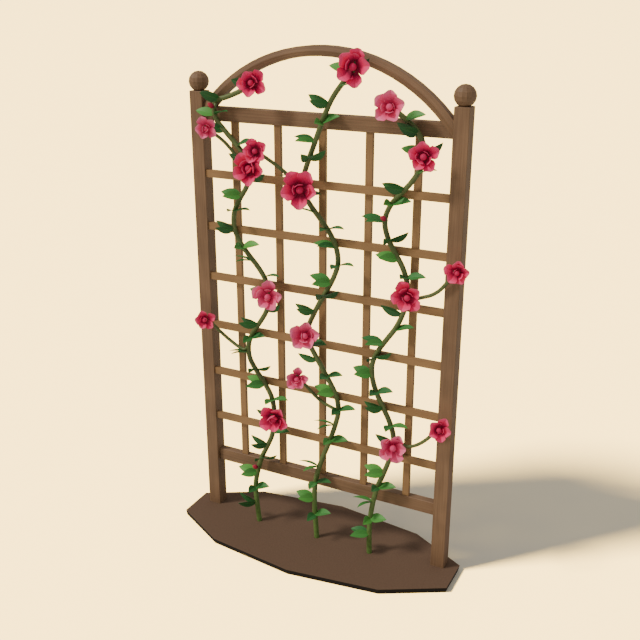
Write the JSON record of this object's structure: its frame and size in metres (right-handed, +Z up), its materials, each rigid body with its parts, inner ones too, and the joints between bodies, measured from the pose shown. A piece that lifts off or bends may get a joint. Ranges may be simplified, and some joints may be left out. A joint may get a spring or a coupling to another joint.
{
  "type": "climbing rose on a trellis",
  "caption": "Climbing rose with leafy winding canes and open cupped blooms on an arched timber lattice trellis standing in a thin bed of soil.",
  "frame": {"origin": "middle of the underside of the soil bed", "axes": "+X along the trellis to the right seen from the front, +Y to the back, +Z up"},
  "size_m": [1.088, 0.462, 1.7995],
  "materials": {
    "frame_timber": "brown stained timber, matt",
    "slat_timber": "lighter tan timber, matt",
    "soil": "packed fine soil, matt",
    "cane_and_leaf": "green living stems and leaves, satin",
    "petals_deep": "deep pink petals, soft",
    "petals_light": "light pink petals, soft",
    "petals_red": "rose red petals, soft",
    "rosebud": "closed dark pink bud, soft"
  },
  "bodies": {
    "root": {"soil_bed": "soil", "post_left": "frame_timber", "post_right": "frame_timber", "finial_left": "frame_timber", "finial_right": "frame_timber", "arch": "frame_timber", "bottom_rail": "frame_timber", "top_rail": "frame_timber", "slat_level_1": "slat_timber", "slat_level_2": "slat_timber", "slat_level_3": "slat_timber", "slat_level_4": "slat_timber", "slat_level_5": "slat_timber", "slat_level_6": "slat_timber", "slat_upright_1": "slat_timber", "slat_upright_2": "slat_timber", "slat_upright_3": "slat_timber", "slat_upright_4": "slat_timber", "slat_upright_5": "slat_timber", "cane_left": "cane_and_leaf", "cane_middle": "cane_and_leaf", "cane_right": "cane_and_leaf", "bloom_01": "petals_deep", "bloom_02": "petals_deep", "bloom_03": "petals_light", "bloom_04": "petals_light", "bloom_05": "petals_deep", "bloom_06": "petals_deep", "bloom_07": "petals_deep", "bloom_08": "petals_deep", "bloom_09": "petals_red", "bloom_10": "petals_light", "bloom_11": "petals_red", "bloom_12": "petals_red", "bloom_13": "petals_light", "bloom_14": "petals_light", "bloom_15": "petals_deep", "bloom_16": "petals_red", "bloom_17": "petals_light", "bud_1": "rosebud", "bud_2": "rosebud", "bud_3": "rosebud"}
  },
  "joints": []
}
